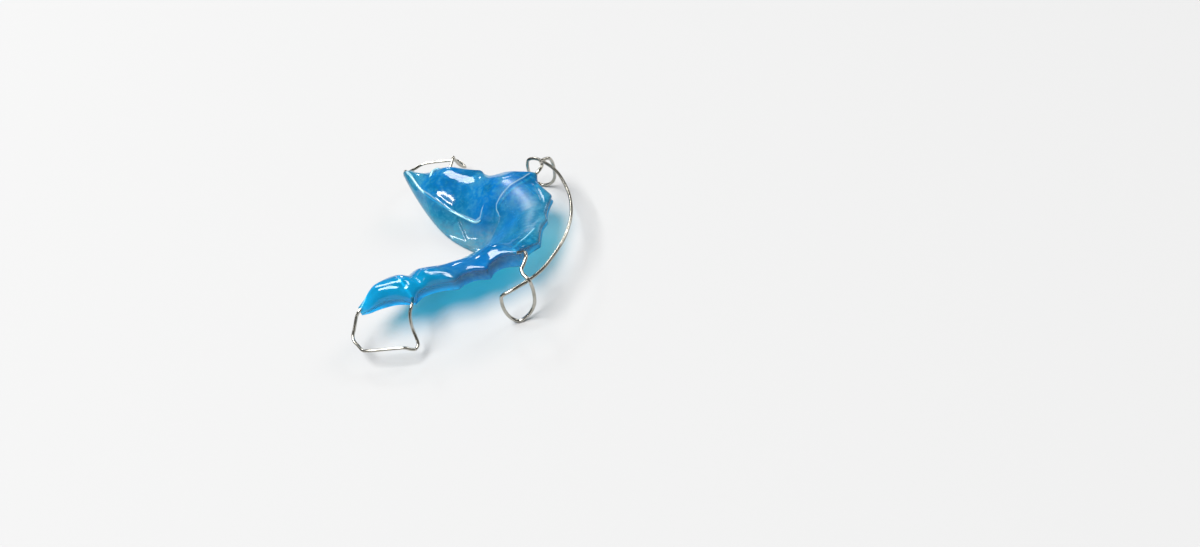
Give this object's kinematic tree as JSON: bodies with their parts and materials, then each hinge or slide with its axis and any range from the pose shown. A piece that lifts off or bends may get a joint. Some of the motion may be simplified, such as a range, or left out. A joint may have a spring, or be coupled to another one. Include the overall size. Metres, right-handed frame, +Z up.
{
  "type": "hawley retainer",
  "caption": "Upper removable retainer: blue acrylic palate plate with a steel labial bow, canine loops and molar clasps.",
  "frame": {"origin": "on the floor under the middle of the retainer's outline, where the palate side of the plate and the two canine loops rest", "axes": "+X across the arch, to the right when seen from above with the front teeth away, which is the wearer's left; +Y to the front teeth; +Z up, from the palate side to the biting edges"},
  "size_m": [0.0638, 0.0484, 0.0134],
  "materials": {
    "blue_acrylic": "polished see-through blue acrylic, clear at its thin edges",
    "steel_wire": "drawn and polished stainless wire"
  },
  "bodies": {
    "root": {"baseplate": "blue_acrylic", "labial_bow": "steel_wire", "molar_clasp_right": "steel_wire", "molar_clasp_left": "steel_wire"}
  },
  "joints": []
}
